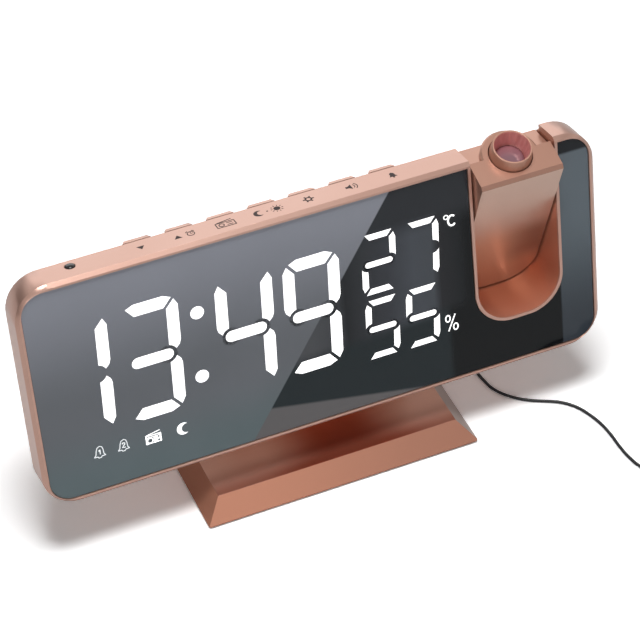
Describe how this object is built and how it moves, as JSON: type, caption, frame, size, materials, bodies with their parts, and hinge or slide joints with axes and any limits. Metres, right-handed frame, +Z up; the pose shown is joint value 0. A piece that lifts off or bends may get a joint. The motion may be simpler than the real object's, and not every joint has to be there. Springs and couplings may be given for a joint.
{
  "type": "projection alarm clock",
  "caption": "Wide table alarm clock with a mirror front on a small foot, keys along its top and a tilting projector arm in a U-shaped well.",
  "frame": {"origin": "centre of the foot's underside, on the table", "axes": "+X to the right along the body, +Y to the back, +Z up"},
  "size_m": [0.2145, 0.0924, 0.0965],
  "materials": {
    "frame_rose": "satin metallic paint",
    "well_copper": "satin copper paint",
    "cover_rose": "fine matte texture",
    "arm_rose": "satin metallic paint",
    "key_rose": "satin metallic paint",
    "stand_rose": "satin metallic paint",
    "mirror_front": "polished, dark",
    "light_white": "milky",
    "reflector_white": "matte",
    "board_green": "solder mask",
    "black_plastic": "matte",
    "sensor_window": "dark clear",
    "steel": "plated",
    "contact_brass": "bright",
    "lens_clear": "clear",
    "lamp_red": "clear",
    "pad_rubber": "matte",
    "wire_black": "matte"
  },
  "bodies": {
    "clock": {"front_frame": "frame_rose", "mirror_panel": "mirror_front", "display_segments": "light_white", "display_reflector": "reflector_white", "main_board": "board_green", "tact_switches": "black_plastic", "light_sensor": "sensor_window", "climate_sensor": "reflector_white", "speaker": "black_plastic", "rear_cover": "cover_rose", "housing_screws": "steel", "battery_contacts": "contact_brass", "coin_cell": "steel", "usb_socket": "steel", "dc_socket": "black_plastic", "projector_well": "well_copper", "pivot_pins": "steel", "pivot_washers": "reflector_white", "stand": "stand_rose", "stand_pad": "pad_rubber", "stand_screws": "steel", "antenna_grommet": "wire_black", "antenna_wire": "wire_black", "antenna_coil": "wire_black"},
    "projector_arm": {"projector_arm_front": "arm_rose", "projector_arm_back": "arm_rose", "arm_screws": "steel", "lens_barrel": "black_plastic", "projector_lcd": "sensor_window", "projector_lamp": "lamp_red", "projector_lamp_board": "board_green"},
    "focus_ring": {"focus_collar": "arm_rose", "projection_lens": "lens_clear"},
    "battery_lid": {"battery_door": "cover_rose"},
    "key_down_body": {"key_down": "key_rose"},
    "key_up_body": {"key_up": "key_rose"},
    "key_radio_body": {"key_radio": "key_rose"},
    "key_snooze_body": {"key_snooze": "key_rose"},
    "key_set_body": {"key_set": "key_rose"},
    "key_volume_body": {"key_volume": "key_rose"},
    "key_alarm_body": {"key_alarm": "key_rose"}
  },
  "joints": [
    {"name": "projector_tilt", "type": "hinge", "parent": "clock", "child": "projector_arm", "pos_m": [0.0656, 0.00741, 0.0742], "axis": [-1, 0, 0], "range_deg": [0, 105]},
    {"name": "focus_turn", "type": "hinge", "parent": "projector_arm", "child": "focus_ring", "pos_m": [0.0656, 0.00741, 0.0742], "axis": [0, -0.2571, 0.9664], "range_deg": [0, 180]},
    {"name": "battery_lid_turn", "type": "hinge", "parent": "clock", "child": "battery_lid", "pos_m": [0.005, 0.01908, 0.04884], "axis": [0, 0.977, -0.213], "range_deg": [0, 45]},
    {"name": "press_down", "type": "slide", "parent": "clock", "child": "key_down_body", "axis": [0, -0.977, 0.213], "range_m": [0, 0.0003], "stiffness_N_per_m": 1500},
    {"name": "press_up", "type": "slide", "parent": "clock", "child": "key_up_body", "axis": [0, -0.977, 0.213], "range_m": [0, 0.0003], "stiffness_N_per_m": 1500},
    {"name": "press_radio", "type": "slide", "parent": "clock", "child": "key_radio_body", "axis": [0, -0.977, 0.213], "range_m": [0, 0.0003], "stiffness_N_per_m": 1500},
    {"name": "press_snooze", "type": "slide", "parent": "clock", "child": "key_snooze_body", "axis": [0, -0.977, 0.213], "range_m": [0, 0.0003], "stiffness_N_per_m": 1500},
    {"name": "press_set", "type": "slide", "parent": "clock", "child": "key_set_body", "axis": [0, -0.977, 0.213], "range_m": [0, 0.0003], "stiffness_N_per_m": 1500},
    {"name": "press_volume", "type": "slide", "parent": "clock", "child": "key_volume_body", "axis": [0, -0.977, 0.213], "range_m": [0, 0.0003], "stiffness_N_per_m": 1500},
    {"name": "press_alarm", "type": "slide", "parent": "clock", "child": "key_alarm_body", "axis": [0, -0.977, 0.213], "range_m": [0, 0.0003], "stiffness_N_per_m": 1500}
  ]
}
